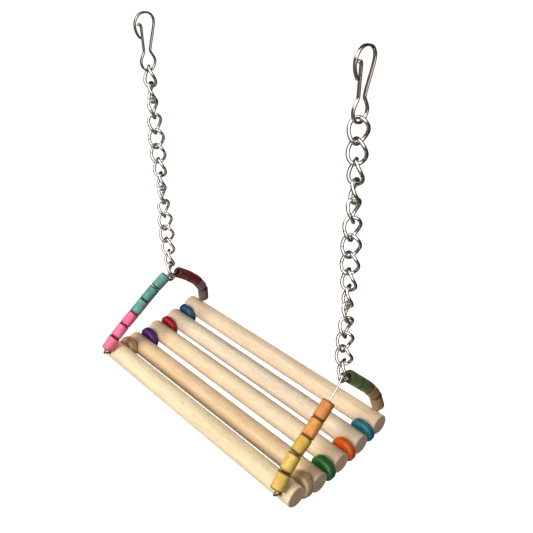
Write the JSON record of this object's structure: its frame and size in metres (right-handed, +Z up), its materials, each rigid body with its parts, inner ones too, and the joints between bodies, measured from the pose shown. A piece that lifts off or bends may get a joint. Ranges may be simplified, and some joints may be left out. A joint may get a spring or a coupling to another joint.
{
  "type": "hanging bird bench",
  "caption": "Wooden dowel bench for a pet bird, strung on two bent wires with coloured wooden beads and hung by two twisted-link chains from strip clips.",
  "frame": {"origin": "middle of the line that joins the two clip seats, where the bench hangs", "axes": "+X along the dowels towards the right end, +Y from the front dowel to the back dowel, +Z up along the chains"},
  "size_m": [0.2023, 0.1012, 0.2562],
  "materials": {
    "dowel_wood": "pale sanded natural wood",
    "clip_nickel": "nickel plated strip",
    "chain_nickel": "nickel plated steel",
    "wire_steel": "plain bright steel wire",
    "spacer_natural": "clear varnished wood",
    "spacer_purple": "gloss purple paint",
    "spacer_red": "gloss red paint",
    "spacer_blue": "gloss blue paint",
    "spacer_green": "gloss green paint",
    "spacer_orange": "gloss orange paint",
    "spacer_teal": "gloss teal paint",
    "bead_pink": "pink dye, grain shows",
    "bead_teal": "teal dye, grain shows",
    "bead_mauve": "brown mauve dye",
    "bead_red": "dark red dye",
    "bead_yellow": "yellow dye, grain shows",
    "bead_orange": "orange dye, grain shows",
    "bead_tan": "tan dye",
    "bead_green": "dark green dye"
  },
  "bodies": {
    "clips": {"left_clip": "clip_nickel", "right_clip": "clip_nickel"},
    "left_chain_1": {"left_link_1": "chain_nickel"},
    "left_chain_2": {"left_link_2": "chain_nickel"},
    "left_chain_3": {"left_link_3": "chain_nickel"},
    "left_chain_4": {"left_link_4": "chain_nickel"},
    "left_chain_5": {"left_link_5": "chain_nickel"},
    "left_chain_6": {"left_link_6": "chain_nickel"},
    "left_chain_7": {"left_link_7": "chain_nickel"},
    "left_chain_8": {"left_link_8": "chain_nickel"},
    "left_chain_9": {"left_link_9": "chain_nickel"},
    "left_chain_10": {"left_link_10": "chain_nickel"},
    "left_chain_11": {"left_link_11": "chain_nickel"},
    "left_chain_12": {"left_link_12": "chain_nickel"},
    "left_chain_13": {"left_link_13": "chain_nickel"},
    "left_chain_14": {"left_link_14": "chain_nickel"},
    "left_chain_15": {"left_link_15": "chain_nickel"},
    "right_chain_1": {"right_link_1": "chain_nickel"},
    "right_chain_2": {"right_link_2": "chain_nickel"},
    "right_chain_3": {"right_link_3": "chain_nickel"},
    "right_chain_4": {"right_link_4": "chain_nickel"},
    "right_chain_5": {"right_link_5": "chain_nickel"},
    "right_chain_6": {"right_link_6": "chain_nickel"},
    "right_chain_7": {"right_link_7": "chain_nickel"},
    "right_chain_8": {"right_link_8": "chain_nickel"},
    "right_chain_9": {"right_link_9": "chain_nickel"},
    "right_chain_10": {"right_link_10": "chain_nickel"},
    "right_chain_11": {"right_link_11": "chain_nickel"},
    "right_chain_12": {"right_link_12": "chain_nickel"},
    "right_chain_13": {"right_link_13": "chain_nickel"},
    "right_chain_14": {"right_link_14": "chain_nickel"},
    "right_chain_15": {"right_link_15": "chain_nickel"},
    "bench": {"left_wire": "wire_steel", "right_wire": "wire_steel", "dowel_1": "dowel_wood", "dowel_2": "dowel_wood", "dowel_3": "dowel_wood", "dowel_4": "dowel_wood", "dowel_5": "dowel_wood", "left_spacer_1": "spacer_natural", "left_spacer_2": "spacer_purple", "left_spacer_3": "spacer_red", "left_spacer_4": "spacer_blue", "right_spacer_1": "spacer_natural", "right_spacer_2": "spacer_green", "right_spacer_3": "spacer_orange", "right_spacer_4": "spacer_teal", "left_front_beads_low": "bead_pink", "left_front_beads_high": "bead_teal", "left_back_beads_low": "bead_mauve", "left_back_beads_high": "bead_red", "right_front_beads_low": "bead_yellow", "right_front_beads_high": "bead_orange", "right_back_beads_low": "bead_tan", "right_back_beads_high": "bead_green"}
  },
  "joints": [
    {"name": "left_hinge_1", "type": "hinge", "parent": "clips", "child": "left_chain_1", "pos_m": [-0.0863, 0, -0.03435], "axis": [0.9996, 0, 0.0266], "range_deg": [-12, 12]},
    {"name": "left_hinge_2", "type": "hinge", "parent": "left_chain_1", "child": "left_chain_2", "pos_m": [-0.0863, 0, -0.04574], "axis": [-0.9996, 0, -0.0266], "range_deg": [-24, 24]},
    {"name": "left_hinge_3", "type": "hinge", "parent": "left_chain_2", "child": "left_chain_3", "pos_m": [-0.0863, 0, -0.05694], "axis": [0.9996, 0, 0.0266], "range_deg": [-24, 24]},
    {"name": "left_hinge_4", "type": "hinge", "parent": "left_chain_3", "child": "left_chain_4", "pos_m": [-0.0863, 0, -0.06792], "axis": [-0.9996, 0, -0.0266], "range_deg": [-36, 36]},
    {"name": "left_hinge_5", "type": "hinge", "parent": "left_chain_4", "child": "left_chain_5", "pos_m": [-0.0863, 0, -0.07812], "axis": [0.9996, 0, 0.0266], "range_deg": [-27, 27]},
    {"name": "left_hinge_6", "type": "hinge", "parent": "left_chain_5", "child": "left_chain_6", "pos_m": [-0.0863, 0, -0.08779], "axis": [-0.9996, 0, -0.0266], "range_deg": [-36, 36]},
    {"name": "left_hinge_7", "type": "hinge", "parent": "left_chain_6", "child": "left_chain_7", "pos_m": [-0.0863, 0, -0.09784], "axis": [0.9996, 0, 0.0266], "range_deg": [-39, 39]},
    {"name": "left_hinge_8", "type": "hinge", "parent": "left_chain_7", "child": "left_chain_8", "pos_m": [-0.0863, 0, -0.10925], "axis": [-0.9996, 0, -0.0266], "range_deg": [-27, 27]},
    {"name": "left_hinge_9", "type": "hinge", "parent": "left_chain_8", "child": "left_chain_9", "pos_m": [-0.0863, 0, -0.11999], "axis": [0.9996, 0, 0.0266], "range_deg": [-27, 27]},
    {"name": "left_hinge_10", "type": "hinge", "parent": "left_chain_9", "child": "left_chain_10", "pos_m": [-0.0863, 0, -0.13144], "axis": [-0.9996, 0, -0.0266], "range_deg": [-45, 45]},
    {"name": "left_hinge_11", "type": "hinge", "parent": "left_chain_10", "child": "left_chain_11", "pos_m": [-0.0863, 0, -0.14113], "axis": [0.9996, 0, 0.0266], "range_deg": [-36, 36]},
    {"name": "left_hinge_12", "type": "hinge", "parent": "left_chain_11", "child": "left_chain_12", "pos_m": [-0.0863, 0, -0.15141], "axis": [-0.9996, 0, -0.0266], "range_deg": [-30, 30]},
    {"name": "left_hinge_13", "type": "hinge", "parent": "left_chain_12", "child": "left_chain_13", "pos_m": [-0.0863, 0, -0.16123], "axis": [0.9996, 0, 0.0266], "range_deg": [-42, 42]},
    {"name": "left_hinge_14", "type": "hinge", "parent": "left_chain_13", "child": "left_chain_14", "pos_m": [-0.0863, 0, -0.17164], "axis": [-0.9996, 0, -0.0266], "range_deg": [-27, 27]},
    {"name": "left_hinge_15", "type": "hinge", "parent": "left_chain_14", "child": "left_chain_15", "pos_m": [-0.0863, 0, -0.18355], "axis": [0.9996, 0, 0.0266], "range_deg": [-15, 15]},
    {"name": "right_hinge_1", "type": "hinge", "parent": "clips", "child": "right_chain_1", "pos_m": [0.0863, 0, -0.02975], "axis": [0.9996, 0, 0.0266], "range_deg": [-12, 12]},
    {"name": "right_hinge_2", "type": "hinge", "parent": "right_chain_1", "child": "right_chain_2", "pos_m": [0.0863, 0, -0.04114], "axis": [-0.9996, 0, -0.0266], "range_deg": [-24, 24]},
    {"name": "right_hinge_3", "type": "hinge", "parent": "right_chain_2", "child": "right_chain_3", "pos_m": [0.0863, 0, -0.05234], "axis": [0.9996, 0, 0.0266], "range_deg": [-24, 24]},
    {"name": "right_hinge_4", "type": "hinge", "parent": "right_chain_3", "child": "right_chain_4", "pos_m": [0.0863, 0, -0.06332], "axis": [-0.9996, 0, -0.0266], "range_deg": [-36, 36]},
    {"name": "right_hinge_5", "type": "hinge", "parent": "right_chain_4", "child": "right_chain_5", "pos_m": [0.0863, 0, -0.07352], "axis": [0.9996, 0, 0.0266], "range_deg": [-27, 27]},
    {"name": "right_hinge_6", "type": "hinge", "parent": "right_chain_5", "child": "right_chain_6", "pos_m": [0.0863, 0, -0.08319], "axis": [-0.9996, 0, -0.0266], "range_deg": [-36, 36]},
    {"name": "right_hinge_7", "type": "hinge", "parent": "right_chain_6", "child": "right_chain_7", "pos_m": [0.0863, 0, -0.09324], "axis": [0.9996, 0, 0.0266], "range_deg": [-39, 39]},
    {"name": "right_hinge_8", "type": "hinge", "parent": "right_chain_7", "child": "right_chain_8", "pos_m": [0.0863, 0, -0.10465], "axis": [-0.9996, 0, -0.0266], "range_deg": [-27, 27]},
    {"name": "right_hinge_9", "type": "hinge", "parent": "right_chain_8", "child": "right_chain_9", "pos_m": [0.0863, 0, -0.11539], "axis": [0.9996, 0, 0.0266], "range_deg": [-27, 27]},
    {"name": "right_hinge_10", "type": "hinge", "parent": "right_chain_9", "child": "right_chain_10", "pos_m": [0.0863, 0, -0.12684], "axis": [-0.9996, 0, -0.0266], "range_deg": [-45, 45]},
    {"name": "right_hinge_11", "type": "hinge", "parent": "right_chain_10", "child": "right_chain_11", "pos_m": [0.0863, 0, -0.13653], "axis": [0.9996, 0, 0.0266], "range_deg": [-36, 36]},
    {"name": "right_hinge_12", "type": "hinge", "parent": "right_chain_11", "child": "right_chain_12", "pos_m": [0.0863, 0, -0.14681], "axis": [-0.9996, 0, -0.0266], "range_deg": [-30, 30]},
    {"name": "right_hinge_13", "type": "hinge", "parent": "right_chain_12", "child": "right_chain_13", "pos_m": [0.0863, 0, -0.15663], "axis": [0.9996, 0, 0.0266], "range_deg": [-42, 42]},
    {"name": "right_hinge_14", "type": "hinge", "parent": "right_chain_13", "child": "right_chain_14", "pos_m": [0.0863, 0, -0.16704], "axis": [-0.9996, 0, -0.0266], "range_deg": [-27, 27]},
    {"name": "right_hinge_15", "type": "hinge", "parent": "right_chain_14", "child": "right_chain_15", "pos_m": [0.0863, 0, -0.17895], "axis": [0.9996, 0, 0.0266], "range_deg": [-15, 15]},
    {"name": "bench_rock", "type": "hinge", "parent": "left_chain_15", "child": "bench", "pos_m": [-0.0863, 0, -0.1947], "axis": [0.9996, 0, 0.0266], "range_deg": [-12, 24]}
  ],
  "couplings": [
    {"joint": "right_hinge_1", "follows": "left_hinge_1", "ratio": 1},
    {"joint": "right_hinge_2", "follows": "left_hinge_2", "ratio": 1},
    {"joint": "right_hinge_3", "follows": "left_hinge_3", "ratio": 1},
    {"joint": "right_hinge_4", "follows": "left_hinge_4", "ratio": 1},
    {"joint": "right_hinge_5", "follows": "left_hinge_5", "ratio": 1},
    {"joint": "right_hinge_6", "follows": "left_hinge_6", "ratio": 1},
    {"joint": "right_hinge_7", "follows": "left_hinge_7", "ratio": 1},
    {"joint": "right_hinge_8", "follows": "left_hinge_8", "ratio": 1},
    {"joint": "right_hinge_9", "follows": "left_hinge_9", "ratio": 1},
    {"joint": "right_hinge_10", "follows": "left_hinge_10", "ratio": 1},
    {"joint": "right_hinge_11", "follows": "left_hinge_11", "ratio": 1},
    {"joint": "right_hinge_12", "follows": "left_hinge_12", "ratio": 1},
    {"joint": "right_hinge_13", "follows": "left_hinge_13", "ratio": 1},
    {"joint": "right_hinge_14", "follows": "left_hinge_14", "ratio": 1},
    {"joint": "right_hinge_15", "follows": "left_hinge_15", "ratio": 1}
  ]
}
